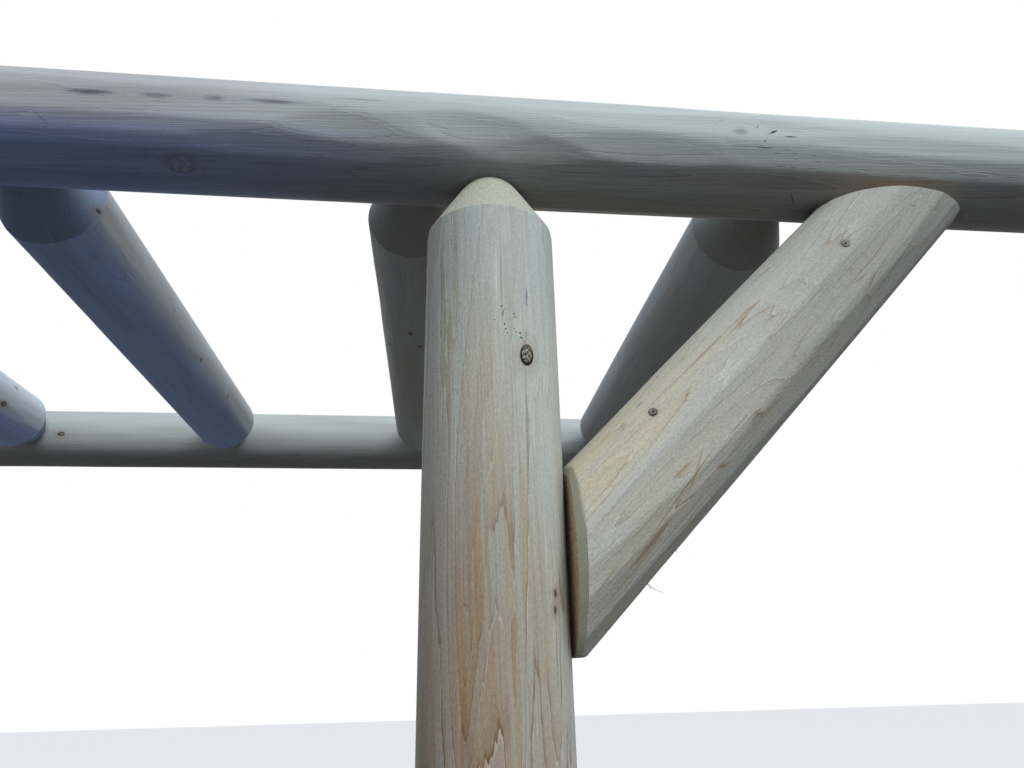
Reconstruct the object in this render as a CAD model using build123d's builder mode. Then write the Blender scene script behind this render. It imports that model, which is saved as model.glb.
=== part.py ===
from build123d import *
import os
from math import atan2, cos, hypot, radians, sin, tan

# An open garden arbor of peeled cedar logs, with shouldered tenons and mitred braces
# Millimetres, +X along the beams, +Y to the back, +Z up, origin on the ground in the middle

# Where the logs stand
post_spacing = 2438          # from the left posts' axes to the right posts' axes
beam_spacing = 900           # from the front beam's axis to the back beam's axis
beam_axis_height = 2081      # both beams and all rafters lie at this height
beam_overhang = 610          # from a post's axis to the beam's end

# Log sizes
post_top_diameter = 115.6    # at the shoulder, the butt end of the log
post_upper_pull = 108.4      # curve handle two thirds of the way up, so the butt swells
post_lower_pull = 103        # curve handle one third of the way up
post_foot_diameter = 102
front_beam_diameter = 106
back_beam_diameter = 114
rafter_diameter = 107
brace_diameter = 109.2

# Turned ends
tenon_diameter = 50.8
tenon_length = 64
post_shoulder_angle = 60     # full angle of the cone between log and tenon
rafter_shoulder_angle = 52
post_shoulder_bite = 3.6     # how far a post's shoulder is driven into the beam's mouth
fit = 0.3                    # clearance wherever one log seats on another
mortise_end_gap = 3          # air beyond a tenon's tip

# Rafters
rafters_between_posts = 7
rafter_inset = 73            # from a post's axis inwards to the first of these
rafter_overhang = 299        # from a post's axis outwards to the one rafter beyond it

# Braces, each outside its post
brace_reach = 345            # from the corner of post and beam to the middle of the upper cut
brace_drop = 345             # from that corner to the middle of the lower cut
brace_bevel_across = 9         # bevel round the sawn face, measured across that face
brace_bevel_back = 8           # the same bevel, measured along the log
brace_tip_cut = 11             # what is taken off the sharp tip of each mitre

# Sawn ends
foot_chamfer = 5
beam_end_chamfer = 6

beam_diameters = {"front": front_beam_diameter, "back": back_beam_diameter}
beam_y = {"front": -beam_spacing / 2, "back": beam_spacing / 2}
post_x = {"left": -post_spacing / 2, "right": post_spacing / 2}
tenon_radius = tenon_diameter / 2


def shoulder_length(log_diameter, full_angle):
    return (log_diameter - tenon_diameter) / 2 / tan(radians(full_angle / 2))


def post_seat(side):
    # distance from the beam's axis to the narrow end of the post's shoulder
    return beam_diameters[side] / 2 - post_shoulder_bite


def rafter_seat(side):
    return beam_diameters[side] / 2 + fit


def post_shoulder_height(side):
    return beam_axis_height - post_seat(side) - shoulder_length(post_top_diameter, post_shoulder_angle)


def post_radius_at(height, side):
    # the same cubic curve that make_post turns
    t = height / post_shoulder_height(side)
    pulls = (post_foot_diameter, post_lower_pull, post_upper_pull, post_top_diameter)
    weights = ((1 - t) ** 3, 3 * t * (1 - t) ** 2, 3 * t**2 * (1 - t), t**3)
    return sum(w * d / 2 for w, d in zip(weights, pulls))


def rafter_positions():
    inner = post_spacing / 2 - rafter_inset
    outer = post_spacing / 2 + rafter_overhang
    pitch = 2 * inner / (rafters_between_posts - 1)
    between = [-inner + pitch * i for i in range(rafters_between_posts)]
    return [-outer] + between + [outer]


def keep(builder, name):
    builder.part.label = name
    export_step(builder.part, f"parts/{name}.step")
    print(name, round(builder.part.volume / 1e6, 2), "litres")
    return builder.part.volume


def make_post(side, hand):
    # foot, tapering log, conical shoulder and tenon in one turned profile
    shoulder = post_shoulder_height(side)
    seat = beam_axis_height - post_seat(side)
    top = seat + tenon_length
    foot_radius = post_foot_diameter / 2
    wide = (post_top_diameter / 2, shoulder)
    axis = Axis((post_x[hand], beam_y[side], 0), (0, 0, 1))
    with BuildPart() as post:
        with BuildSketch(Plane((post_x[hand], beam_y[side], 0), x_dir=(1, 0, 0), z_dir=(0, -1, 0))):
            with BuildLine():
                Polyline((0, 0), (foot_radius - foot_chamfer, 0), (foot_radius, foot_chamfer))
                Bezier(
                    (foot_radius, foot_chamfer),
                    (post_lower_pull / 2, shoulder / 3),
                    (post_upper_pull / 2, shoulder * 2 / 3),
                    wide,
                )
                Polyline(wide, (tenon_radius, seat), (tenon_radius, top), (0, top), (0, 0))
            make_face()
        revolve(axis=axis)
    return keep(post, f"{side}_{hand}_post")


def make_beam(side):
    # a round log with a row of countersunk mortises from inside and two from below
    diameter = beam_diameters[side]
    inwards = -1 if side == "back" else 1
    half_length = post_spacing / 2 + beam_overhang
    rafter_cone = rafter_seat(side) + shoulder_length(rafter_diameter, rafter_shoulder_angle)
    post_cone = beam_axis_height - post_shoulder_height(side)
    hole = tenon_radius + fit
    with BuildPart() as beam:
        with BuildSketch(Plane.YZ.offset(-half_length)):
            with Locations((beam_y[side], beam_axis_height)):
                Circle(diameter / 2)
        extrude(amount=2 * half_length)
        chamfer(beam.edges().filter_by(GeomType.CIRCLE), length=beam_end_chamfer)
        for x in rafter_positions():
            mouth = (x, beam_y[side] + inwards * rafter_cone, beam_axis_height)
            with Locations(Plane(mouth, x_dir=(1, 0, 0), z_dir=(0, inwards, 0))):
                CounterSinkHole(
                    radius=hole,
                    counter_sink_radius=rafter_diameter / 2 + fit,
                    depth=rafter_cone - rafter_seat(side) + tenon_length + mortise_end_gap,
                    counter_sink_angle=rafter_shoulder_angle,
                )
        for x in post_x.values():
            with Locations(Plane((x, beam_y[side], beam_axis_height - post_cone), z_dir=(0, 0, -1))):
                CounterSinkHole(
                    radius=hole,
                    counter_sink_radius=post_top_diameter / 2 + fit,
                    depth=post_cone - post_seat(side) + tenon_length + mortise_end_gap,
                    counter_sink_angle=post_shoulder_angle,
                )
    return keep(beam, f"{side}_beam")


def make_rafter(x, name):
    # a straight log with the same turned end at the front beam and at the back beam
    cone = shoulder_length(rafter_diameter, rafter_shoulder_angle)
    front = beam_y["front"] + rafter_seat("front")
    back = beam_y["back"] - rafter_seat("back")
    radius = rafter_diameter / 2
    with BuildPart() as rafter:
        with BuildSketch(Plane((x, 0, beam_axis_height), x_dir=(0, 0, 1), z_dir=(-1, 0, 0))):
            with BuildLine():
                Polyline(
                    (0, front - tenon_length),
                    (tenon_radius, front - tenon_length),
                    (tenon_radius, front),
                    (radius, front + cone),
                    (radius, back - cone),
                    (tenon_radius, back),
                    (tenon_radius, back + tenon_length),
                    (0, back + tenon_length),
                    close=True,
                )
            make_face()
        revolve(axis=Axis((x, 0, beam_axis_height), (0, 1, 0)))
    return keep(rafter, name)


def make_brace(side, hand):
    # a round log sawn upright against the post and level under the beam, bevelled round both cuts
    outwards = -1 if hand == "left" else 1
    y = beam_y[side]
    slope = atan2(brace_drop, brace_reach)
    level_cut = beam_axis_height - beam_diameters[side] / 2 - fit
    contact_top = level_cut - brace_drop + brace_diameter / 2 / cos(slope)
    upright_cut = post_x[hand] + outwards * (post_radius_at(contact_top, side) + fit)
    along = (outwards * cos(slope), 0, sin(slope))
    length = hypot(brace_reach, brace_drop)
    spare = brace_diameter / sin(slope) + brace_diameter / cos(slope)
    low_tip = level_cut - brace_drop - brace_diameter / 2 / cos(slope)
    far_tip = upright_cut + outwards * (brace_reach + brace_diameter / 2 / sin(slope))
    start = Vector(upright_cut, y, level_cut - brace_drop)
    with BuildPart() as brace:
        with BuildSketch(Plane(start, x_dir=(0, 1, 0), z_dir=along).offset(-spare)):
            Circle(brace_diameter / 2)
        extrude(amount=length + 2 * spare)
        split(bisect_by=Plane((upright_cut, y, 0), z_dir=(outwards, 0, 0)), keep=Keep.TOP)
        split(bisect_by=Plane((0, y, level_cut), z_dir=(0, 0, -1)), keep=Keep.TOP)
        for face in brace.faces().filter_by(GeomType.PLANE):
            chamfer(face.edges(), length=brace_bevel_across, length2=brace_bevel_back, reference=face)
        split(bisect_by=Plane((0, y, low_tip + brace_tip_cut), z_dir=(0, 0, 1)), keep=Keep.TOP)
        split(
            bisect_by=Plane((far_tip - outwards * brace_tip_cut, y, 0), z_dir=(-outwards, 0, 0)),
            keep=Keep.TOP,
        )
    return keep(brace, f"{side}_{hand}_brace")


os.makedirs("parts", exist_ok=True)
volume = 0
for side in beam_y:
    volume += make_beam(side)
    for hand in post_x:
        volume += make_post(side, hand)
        volume += make_brace(side, hand)
for number, x in enumerate(rafter_positions(), start=1):
    volume += make_rafter(x, f"rafter_{number}")
print("all logs", round(volume / 1e9, 4), "cubic metres")
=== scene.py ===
import math
import bpy
import numpy as np
from mathutils import Matrix, Vector


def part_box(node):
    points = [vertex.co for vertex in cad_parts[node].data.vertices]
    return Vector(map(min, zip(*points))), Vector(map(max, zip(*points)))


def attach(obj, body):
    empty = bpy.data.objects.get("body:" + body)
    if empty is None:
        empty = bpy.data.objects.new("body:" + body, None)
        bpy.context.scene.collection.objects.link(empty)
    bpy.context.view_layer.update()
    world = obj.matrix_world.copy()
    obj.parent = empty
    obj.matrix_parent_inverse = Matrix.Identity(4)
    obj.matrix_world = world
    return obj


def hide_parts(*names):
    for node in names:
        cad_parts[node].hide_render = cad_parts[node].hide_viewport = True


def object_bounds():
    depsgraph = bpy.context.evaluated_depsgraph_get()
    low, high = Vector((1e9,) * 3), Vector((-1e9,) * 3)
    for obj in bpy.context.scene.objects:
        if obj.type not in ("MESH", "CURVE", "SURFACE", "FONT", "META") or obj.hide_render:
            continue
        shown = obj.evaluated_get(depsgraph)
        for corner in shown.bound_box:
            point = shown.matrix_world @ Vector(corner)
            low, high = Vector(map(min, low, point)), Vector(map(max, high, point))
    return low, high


# An open garden arbor of peeled cedar logs
# The scene is in metres, and everything along or across a log is in millimetres

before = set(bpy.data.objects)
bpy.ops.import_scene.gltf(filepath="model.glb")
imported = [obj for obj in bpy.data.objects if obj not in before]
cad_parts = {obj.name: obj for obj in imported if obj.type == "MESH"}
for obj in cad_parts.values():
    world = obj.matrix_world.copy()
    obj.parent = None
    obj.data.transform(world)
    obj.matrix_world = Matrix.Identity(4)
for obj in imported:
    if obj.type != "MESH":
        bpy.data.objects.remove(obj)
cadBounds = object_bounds()
mm = 0.001


def tone(red, green, blue):
    # a colour as a paint program shows it, 0 to 255, turned into scene light
    channels = []
    for part in (red, green, blue):
        c = part / 255
        channels.append(c / 12.92 if c <= 0.04045 else ((c + 0.055) / 1.055) ** 2.4)
    return (*channels, 1)


def addObject(name, data):
    thing = bpy.data.objects.new(name, data)
    bpy.context.scene.collection.objects.link(thing)
    return thing


# Camera

viewpoint = {
    "post": "front_right_post",
    "beam": "front_beam",
    "across": -44.5,    # from the post's axis
    "back": -543.2,     # from the beam's axis
    "down": -481.8,     # from the beam's axis
    "yaw": 6.514,
    "pitch": 23.248,
    "roll": -1.423,
    "focal": 700,       # in pixels
    "picture": 1024,    # its width in pixels
    "sensor": 36,
    "nearest": 20,
}


def boxCentre(node):
    low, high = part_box(node)
    return (low + high) / 2


def addCamera(view):
    beam = boxCentre(view["beam"])
    place = Vector((boxCentre(view["post"]).x, beam.y, beam.z))
    place += Vector((view["across"], view["back"], view["down"])) * mm
    yaw, pitch, roll = (math.radians(view[key]) for key in ("yaw", "pitch", "roll"))
    ahead = Vector((math.sin(yaw) * math.cos(pitch), math.cos(yaw) * math.cos(pitch), math.sin(pitch)))
    level = Vector((math.cos(yaw), -math.sin(yaw), 0))
    upright = level.cross(ahead)
    right = math.cos(roll) * level + math.sin(roll) * upright
    up = math.cos(roll) * upright - math.sin(roll) * level
    lens = bpy.data.cameras.new("viewCamera")
    lens.sensor_width = view["sensor"]
    lens.lens = view["focal"] / view["picture"] * lens.sensor_width
    lens.clip_start = view["nearest"] * mm
    camera = addObject("viewCamera", lens)
    turn = Matrix((right, up, -ahead)).transposed().to_4x4()
    turn.translation = place
    camera.matrix_world = turn
    bpy.context.scene.camera = camera


addCamera(viewpoint)
print("camera set")


# Shader writing

class Wire:
    # one output of a node, usable in plain arithmetic
    def __init__(self, paint, socket):
        self.paint = paint
        self.socket = socket

    def math(self, operation, *values):
        return self.paint.node("ShaderNodeMath", {"operation": operation}, dict(enumerate(values)))

    def __add__(self, other):
        return self.math("ADD", self, other)

    def __radd__(self, other):
        return self.math("ADD", other, self)

    def __sub__(self, other):
        return self.math("SUBTRACT", self, other)

    def __rsub__(self, other):
        return self.math("SUBTRACT", other, self)

    def __mul__(self, other):
        return self.math("MULTIPLY", self, other)

    def __rmul__(self, other):
        return self.math("MULTIPLY", other, self)

    def __truediv__(self, other):
        return self.math("DIVIDE", self, other)

    def __abs__(self):
        return self.math("ABSOLUTE", self)

    def fraction(self):
        return self.math("FRACT", self)

    def whole(self):
        return self.math("FLOOR", self)

    def atMost(self, other):
        return self.math("MINIMUM", self, other)

    def atLeast(self, other):
        return self.math("MAXIMUM", self, other)

    def wave(self):
        return self.math("SINE", self)

    def fade(self, start, end):
        # 0 at start, 1 at end, eased
        limits = {"Value": self, "From Min": start, "From Max": end}
        return self.paint.node("ShaderNodeMapRange", {"interpolation_type": "SMOOTHSTEP"}, limits)


class Paint:
    # the node tree of a material or world, being written
    def __init__(self, owner):
        owner.use_nodes = True
        self.tree = owner.node_tree
        self.tree.nodes.clear()

    def node(self, kind, settings=None, values=None, output=0):
        made = self.tree.nodes.new(kind)
        for key, value in (settings or {}).items():
            setattr(made, key, value)
        for key, value in (values or {}).items():
            if isinstance(value, Wire):
                self.tree.links.new(value.socket, made.inputs[key])
            else:
                made.inputs[key].default_value = value
        return Wire(self, made.outputs[output]) if made.outputs else None

    def attribute(self, name, output):
        return self.node("ShaderNodeAttribute", {"attribute_name": name}, {}, output)

    def coordinates(self, kind="Object"):
        return self.node("ShaderNodeTexCoord", {}, {}, kind)

    def mix(self, factor, first, second, blend="MIX"):
        settings = {"data_type": "RGBA", "blend_type": blend}
        return self.node("ShaderNodeMix", settings, {0: factor, 6: first, 7: second}, 2)

    def grey(self, level):
        return self.node("ShaderNodeCombineColor", {}, {0: level, 1: level, 2: level})

    def vector(self, operation, first, second=None, output=0):
        values = {0: first} if second is None else {0: first, 1: second}
        return self.node("ShaderNodeVectorMath", {"operation": operation}, values, output)

    def parts(self, vector):
        return [self.node("ShaderNodeSeparateXYZ", {}, {0: vector}, i) for i in range(3)]

    def noise(self, place, across, along, detail=1.0, rough=0.5, share=1.0):
        # noise drawn out along the grain, keeping a share of its contrast
        scaled = self.vector("MULTIPLY", place, (1 / across, 1 / across, 1 / along))
        values = {"Vector": scaled, "Scale": 1.0, "Detail": detail, "Roughness": rough}
        made = self.node("ShaderNodeTexNoise", {}, values)
        return made if share == 1 else (made - 0.5) * share + 0.5

    def dice(self, value, seed):
        return self.node("ShaderNodeTexWhiteNoise", {"noise_dimensions": "1D"}, {"W": value + seed})

    def bump(self, strength, height):
        return self.node("ShaderNodeBump", {}, {"Strength": strength, "Distance": mm, "Height": height})

    def principled(self, values):
        return self.node("ShaderNodeBsdfPrincipled", {}, values)

    def finish(self, shader, kind="Material"):
        self.node(f"ShaderNodeOutput{kind}", {}, {"Surface": shader})


def newMaterial(name):
    material = bpy.data.materials.new(name)
    return material, Paint(material)


# Meshes

def tubeFaces(rows, columns, ends=()):
    # quads between rings of points, one ring after another, and a flat face over each of the rings in ends
    i, j = np.meshgrid(np.arange(rows - 1), np.arange(columns), indexing="ij")
    k = (j + 1) % columns
    quads = np.stack([i * columns + j, i * columns + k, (i + 1) * columns + k, (i + 1) * columns + j], -1)
    faces = quads.reshape(-1, 4).tolist()
    for ring in ends:
        face = [ring * columns + column for column in range(columns)]
        faces.append(face if ring else face[::-1])
    return faces


def store(mesh, name, values, kind="FLOAT"):
    layer = mesh.attributes.new(name, kind, "POINT")
    key = "vector" if kind == "FLOAT_VECTOR" else "value"
    layer.data.foreach_set(key, np.asarray(values, np.float32).ravel())


def addPiece(name, places, faces, material, sharpFrom=None):
    # a smooth mesh that belongs to the arbor, with its edges kept crisp from an angle in degrees
    mesh = bpy.data.meshes.new(name)
    mesh.from_pydata(places, [], faces)
    mesh.polygons.foreach_set("use_smooth", np.ones(len(mesh.polygons), bool))
    if sharpFrom:
        mesh.set_sharp_from_angle(angle=math.radians(sharpFrom))
    mesh.materials.append(material)
    piece = addObject(name, mesh)
    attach(piece, "root")
    return piece


# Logs

logs = {}
noSide = 1e3                # wider than any log
logShape = {
    "grainApart": 5000,     # from one log's grain to the next one's, so that no two are alike
    "inside": 0.15,         # the side lies this far inside the solid
    "shaved": 0.3,          # and this much further where it wobbles
    "oval": 0.22,
    "ovalRun": 170,
    "lobes": 0.16,
    "lobesRun": 95,
    "knotWide": 2.2,        # how far a knot's swelling reaches, in its own half widths and half lengths
    "knotLong": 2.6,
    "flatTurn": 2.39996,    # the golden angle, from one flat to the next
    "flatLoose": 0.12,      # how far a flat strays from that angle
    "flatLean": 0.06,
    "flatOverlap": 1.5,
    "flatsPast": 30,        # flats may start this far past the log's ends
    "shortFlat": 0.35,      # the shortest flat, as a share of the longest
    "shallowFlat": 0.35,    # and the shallowest, as a share of the deepest
    "carriedOn": 12,        # how far the slope of an end goes on past the side
    "crisp": 0.7,           # half the width of a turned edge
    "edgeRun": 30,          # how far along the side the waves of that edge reach
    "besideEdge": 32,       # how far along the side the rows stay close
    "endSteps": (16, 2, 2.4),   # between rows on the spigot, on the slope and on the side beside it
    "capRings": [0.25, 0.5, 0.75, 0.9, 0.975],
    "sharpFrom": 38,
    "seamReach": 60,
    "seamExact": 12,        # nearer than this, a neighbour's shaved side counts
}


def turnFrom(angle, centre):
    return (angle - centre + np.pi) % (2 * np.pi) - np.pi


class Log:
    # A log runs from start along its axis. Angles turn from front towards side, seen down the axis
    def __init__(self, name, look, slot, start, along, front, length, radius):
        self.name, self.look, self.slot = name, look, slot
        self.start = np.array(start, float)
        self.along = np.array(along, float)
        self.front = np.array(front, float)
        self.side = np.cross(self.along, self.front)
        self.length = length
        self.number = len(logs)
        self.sideS = [0, length]
        self.sideR = [radius, radius]
        self.startEnd = self.finalEnd = [(0, radius)]
        self.columns = 96
        self.step = 8
        self.closeUps, self.marks, self.cuts, self.bulges, self.neighbours = [], [], [], [], []
        # how strong the painted skylight tint is, and along which stretch it fades in
        self.cast = 0
        self.paintedSkyLightFades = None
        self.random = np.random.default_rng(100 + self.number)
        logs[name] = self

    def endRadius(self, points, distance):
        # the turned or bevelled end, its last slope carried on past the log's side
        if len(points) < 2:
            return np.full_like(distance, noSide)
        (d0, r0), (d1, r1) = points[-2:]
        slope = (r1 - r0) / (d1 - d0)
        reach = logShape["carriedOn"]
        ds = [d for d, r in points] + [d1 + reach, d1 + reach + 1]
        rs = [r for d, r in points] + [r1 + reach * slope, noSide]
        return np.interp(distance, ds, rs)

    def turnedRadius(self, s):
        return np.minimum(self.endRadius(self.startEnd, s), self.endRadius(self.finalEnd, self.length - s))

    def sideRadius(self, s, angle):
        # the log's side after the draw-knife: long shallow flats, a slow wobble and swollen knots
        shape = logShape
        whole = np.interp(s, self.sideS, self.sideR) - shape["inside"]
        oval = shape["oval"] * np.sin(2 * angle + s / shape["ovalRun"] + self.number)
        lobes = shape["lobes"] * np.sin(3 * angle - s / shape["lobesRun"])
        shaved = whole - shape["shaved"] + oval + lobes
        for mark in self.marks:
            if "swell" in mark:
                turn = turnFrom(angle, math.radians(mark["angle"]))
                far = (turn * whole / (mark["wide"] * shape["knotWide"])) ** 2
                far = far + ((s - mark["at"]) / (mark["long"] * shape["knotLong"])) ** 2
                shaved = shaved + mark["swell"] * np.exp(-far)
        for at, centre, depth, half, lean, power in self.cuts:
            t = (s - at) / half
            rows = np.any(np.abs(t) < 1, axis=1) if t.ndim > 1 else np.abs(t) < 1
            if not rows.any():
                continue
            turn = turnFrom(angle[rows] - centre, lean * t[rows])
            flat = (whole[rows] - depth * (1 - np.abs(t[rows]) ** power)) / np.cos(np.clip(turn, -1.2, 1.2))
            flat = np.where((np.abs(turn) < 1) & (np.abs(t[rows]) < 1), flat, noSide)
            shaved[rows] = np.minimum(shaved[rows], flat)
        shaved = np.minimum(shaved, whole)
        for at, centre, rise, wide, long in self.bulges:
            turn = turnFrom(angle, centre)
            shaved = shaved + rise * np.exp(-(turn * whole / wide) ** 2 - ((s - at) / long) ** 2)
        return shaved

    def shave(self, around, longest, deepest):
        # one flat after another, spread round the log by the golden angle
        shape, draw = logShape, self.random.uniform
        past, loose, lean = shape["flatsPast"], shape["flatLoose"], shape["flatLean"]
        count = int(around * self.length / longest * shape["flatOverlap"]) + around
        for i in range(count):
            half = draw(shape["shortFlat"] * longest, longest) / 2
            at = draw(-past, self.length + past)
            turn = (shape["flatTurn"] * i + draw(-loose, loose)) % (2 * np.pi)
            depth = draw(shape["shallowFlat"], 1) * deepest
            self.cuts.append((at, turn, depth, half, draw(-lean, lean), 2))

    def placeCuts(self, zero, clearings, shown):
        # takes the random flats away where the photo shows the real ones, and puts those in
        def stays(at, turn, *rest):
            return not any(
                low < at - zero < high and left < math.degrees(turn) < right
                for low, high, left, right in clearings
            )

        self.cuts = [cut for cut in self.cuts if stays(*cut)]
        self.cuts += [(zero + at, math.radians(turn), *rest) for at, turn, *rest in shown]

    def world(self, s, x, y):
        s, x, y = s[..., None], x[..., None], y[..., None]
        return (self.start + s * self.along + x * self.front + y * self.side) * mm

    def local(self, places):
        rel = places / mm - self.start
        x, y = rel @ self.front, rel @ self.side
        return rel @ self.along, np.hypot(x, y), np.arctan2(y, x)

    def outside(self, places):
        # how far places lie outside this log's surface
        s, radius, angle = self.local(places)
        turned = self.turnedRadius(np.clip(s, 0, self.length))
        far = radius - np.minimum(np.interp(s, self.sideS, self.sideR), turned)
        near = (np.abs(far) < logShape["seamExact"]) & (s > 0) & (s < self.length)
        if near.any():
            exact = np.minimum(self.sideRadius(s[near], angle[near]), turned[near])
            far[near] = radius[near] - exact
        return np.maximum(far, np.maximum(-s, s - self.length))

    def surfaceAt(self, at, angle):
        # the radius at one place on the side, and the way out of the wood there
        turn = math.radians(angle)
        radius = self.sideRadius(np.array([[float(at)]]), np.array([[turn]]))[0, 0]
        return radius, math.cos(turn) * self.front + math.sin(turn) * self.side


def spread(low, high, step):
    return np.linspace(low, high, max(2, int(math.ceil((high - low) / step)) + 1))


def endRows(points):
    # distances from the end: the spigot, the slope, its edge with the side, then the side
    if len(points) < 2:
        return np.array([0.0]), 0, 0
    flat, edge = points[-2][0], points[-1][0]
    crisp, beside = logShape["crisp"], logShape["besideEdge"]
    onSpigot, onSlope, onSide = logShape["endSteps"]
    rows = [spread(0, flat, onSpigot)] if flat else []
    rows += [spread(flat, edge - crisp, onSlope), [edge], spread(edge + crisp, edge + beside, onSide)]
    return np.unique(np.concatenate(rows).round(4)), flat, edge


def middleRows(log, low, high):
    # coarse steps, and fine ones where the log is seen from close by
    stops = sorted({low, high, *(min(max(v, low), high) for zone in log.closeUps for v in zone[:2])})
    rows = []
    for a, b in zip(stops, stops[1:]):
        step = min([zone[2] for zone in log.closeUps if zone[0] <= a and b <= zone[1]] + [log.step])
        rows.append(spread(a, b, step)[1:])
    return np.concatenate(rows)[:-1]


def endGrid(log, points, angle, final):
    # the rows of one end, where the edge of its slope follows the shaved side
    rows, flat, edge = endRows(points)
    grid = np.repeat(rows[:, None], log.columns, axis=1)
    if edge:
        (d0, r0), (d1, r1) = points[-2:]
        slope = (r1 - r0) / (d1 - d0)
        place = np.full_like(angle, edge)
        for _ in range(4):
            s = log.length - place if final else place
            side = log.sideRadius(s[None, :], angle[None, :])[0]
            place = flat + (side - r0) / slope
        fall = 1 - (rows - edge) / logShape["edgeRun"]
        weight = np.clip(np.minimum((rows - flat) / (edge - flat), fall), 0, 1)
        grid = grid + weight[:, None] * (place - edge)[None, :]
    return log.length - grid[::-1] if final else grid


def roundGrid(log):
    # rows and columns over a whole log, with its two caps
    angle = np.linspace(0, 2 * np.pi, log.columns, endpoint=False)
    middle = middleRows(log, endRows(log.startEnd)[0][-1], log.length - endRows(log.finalEnd)[0][-1])
    s = np.concatenate([
        endGrid(log, log.startEnd, angle, False),
        np.repeat(middle[:, None], log.columns, axis=1),
        endGrid(log, log.finalEnd, angle, True),
    ])
    side = log.sideRadius(s, np.repeat(angle[None, :], len(s), axis=0))
    turned = log.turnedRadius(s)
    radius = np.minimum(side, turned)
    cut = np.zeros((*s.shape, 3))
    cut[..., 0] = turned < side - 0.02
    caps = np.array(logShape["capRings"])[:, None]
    sawn = np.zeros((len(caps), log.columns, 3))
    sawn[..., 1] = 1
    s = np.concatenate([np.repeat(s[:1], len(caps), axis=0), s, np.repeat(s[-1:], len(caps), axis=0)])
    radius = np.concatenate([caps * radius[:1], radius, caps[::-1] * radius[-1:]])
    cut = np.concatenate([sawn, cut, sawn])
    return s, radius * np.cos(angle)[None, :], radius * np.sin(angle)[None, :], cut, np.zeros_like(s)


def addLog(log, s, x, y, cut, ruled):
    # joins the rows, closes both ends with fans, and stores what the shader reads
    rows, columns = s.shape
    ends = np.array([(s[i].mean(), x[i].mean(), y[i].mean()) for i in (0, -1)])
    flatS, flatX, flatY = (np.append(grid.ravel(), ends[:, i]) for i, grid in enumerate((s, x, y)))
    places = log.world(flatS, flatX, flatY)
    first, top = rows * columns, (rows - 1) * columns
    ring = [(j, (j + 1) % columns) for j in range(columns)]
    fans = [(first, b, a) for a, b in ring] + [(first + 1, top + a, top + b) for a, b in ring]
    faces = tubeFaces(rows, columns) + fans
    wood, sharpFrom = woodMaterial(log), logShape["sharpFrom"]
    piece = addPiece(f"{log.name}_log", places.tolist(), faces, wood, sharpFrom)
    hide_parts(log.name)
    seam = np.full(len(places), float(logShape["seamReach"]))
    for other in log.neighbours:
        seam = np.minimum(seam, np.abs(other.outside(places)))
    grainPlace = np.stack([flatX, flatY, flatS + logShape["grainApart"] * log.number], -1)
    store(piece.data, "logSpace", grainPlace, "FLOAT_VECTOR")
    store(piece.data, "cut", np.concatenate([cut.reshape(-1, 3), [[0, 1, 0], [0, 1, 0]]]), "FLOAT_VECTOR")
    store(piece.data, "ruled", np.append(ruled.ravel(), [0, 0]))
    store(piece.data, "seam", seam)
    return piece


def readRings(node, start, along):
    # the solid's own rings: how far along, how wide
    corners = np.array([v.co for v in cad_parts[node].data.vertices]) / mm - start
    s = corners @ along
    radius = np.linalg.norm(corners - np.outer(s, along), axis=1)
    rings = {}
    for place, wide in zip(s.round(1), radius):
        rings[place] = max(rings.get(place, 0), wide)
    return sorted((float(place), float(wide)) for place, wide in rings.items())


def splitRings(rings, wide):
    # the turned start and the turned end, each as its corners, counted from its own tip
    same = 0.1
    first = min(s for s, r in rings if r > wide - same)
    last = max(s for s, r in rings if r > wide - same)
    tip = rings[-1][0]
    starting = [(s, r) for s, r in rings if s <= first]
    ending = [(tip - s, r) for s, r in reversed(rings) if s >= last]
    ends = []
    for ring in (starting, ending):
        narrow = ring[0][1]
        flat = max(s for s, r in ring if r < narrow + same)
        ends.append([(0, narrow), (flat, narrow), ring[-1]] if flat else [(0, narrow), ring[-1]])
    return ends


# Wood

cedar = {
    "ringWidth": 0.8,
    "lateFrom": 0.84,       # the dark line takes the last part of each ring
    "taper": -0.008,        # how fast the rings widen along the log
    "swell": 4.0,           # how far the rings wander, slowly
    "jag": 0.45,            # and how far quickly
    "teeth": 0.18,          # fine teeth where a ring runs out
    "cutThrough": 1.0,      # how far a flat shows the rings below it
    "mottle": 0.5,
    "mottleHeight": 0.4,
    "oneSided": 0.6,        # how much of the warm colour keeps to one side
    "twist": 0.0005,        # spiral grain
    "scratches": 0.3,
    "scratchHeight": 0.2,
    "speckHeight": 0.08,
    "dashHeight": 0.25,
    "bump": 0.75,
    "roughness": 0.8,
    # round a joint: painted shade mixed with grime, then the painted shadow of the line itself
    "jointShadeAndDirt": (70, 62, 56),
    "jointShadow": (24, 20, 18),
    # noises: how wide, how long along the grain, detail, roughness, share
    "swellNoise": (21, 420, 1.0, 0.4),
    "jagNoise": (5, 50, 2.0, 0.6),
    "teethNoise": (1.5, 30, 0.0),
    "lineNoise": (12, 75),
    "fibreNoise": (0.9, 42, 1.0, 0.6, 0.84),
    "scratchNoise": (1.7, 120, 1.0, 0.65, 0.83),
    "streakNoise": (3.6, 190, 1.0, 0.55),
    "patchNoise": (48, 300),
    "mottleNoise": (1.7, 2.9, 1.0, 0.7, 0.82),
    "speckNoise": (0.8, 0.9, 0.0, 0.5, 0.7),
    "dashNoise": (1.1, 9.0, 0.0, 0.5, 0.75),
}


def spot(kind, at, angle, wide, long, dark=0.8, colour=None, **more):
    # one mark on a log: its place and angle, half its width and length, how strong it is, its colour
    shape = {"kind": kind, "at": at, "angle": angle, "wide": wide, "long": long}
    return {**shape, "dark": dark, "colour": colour, **more}


def moved(marks, by):
    return [{**mark, "at": mark["at"] + by} for mark in marks]


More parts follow.
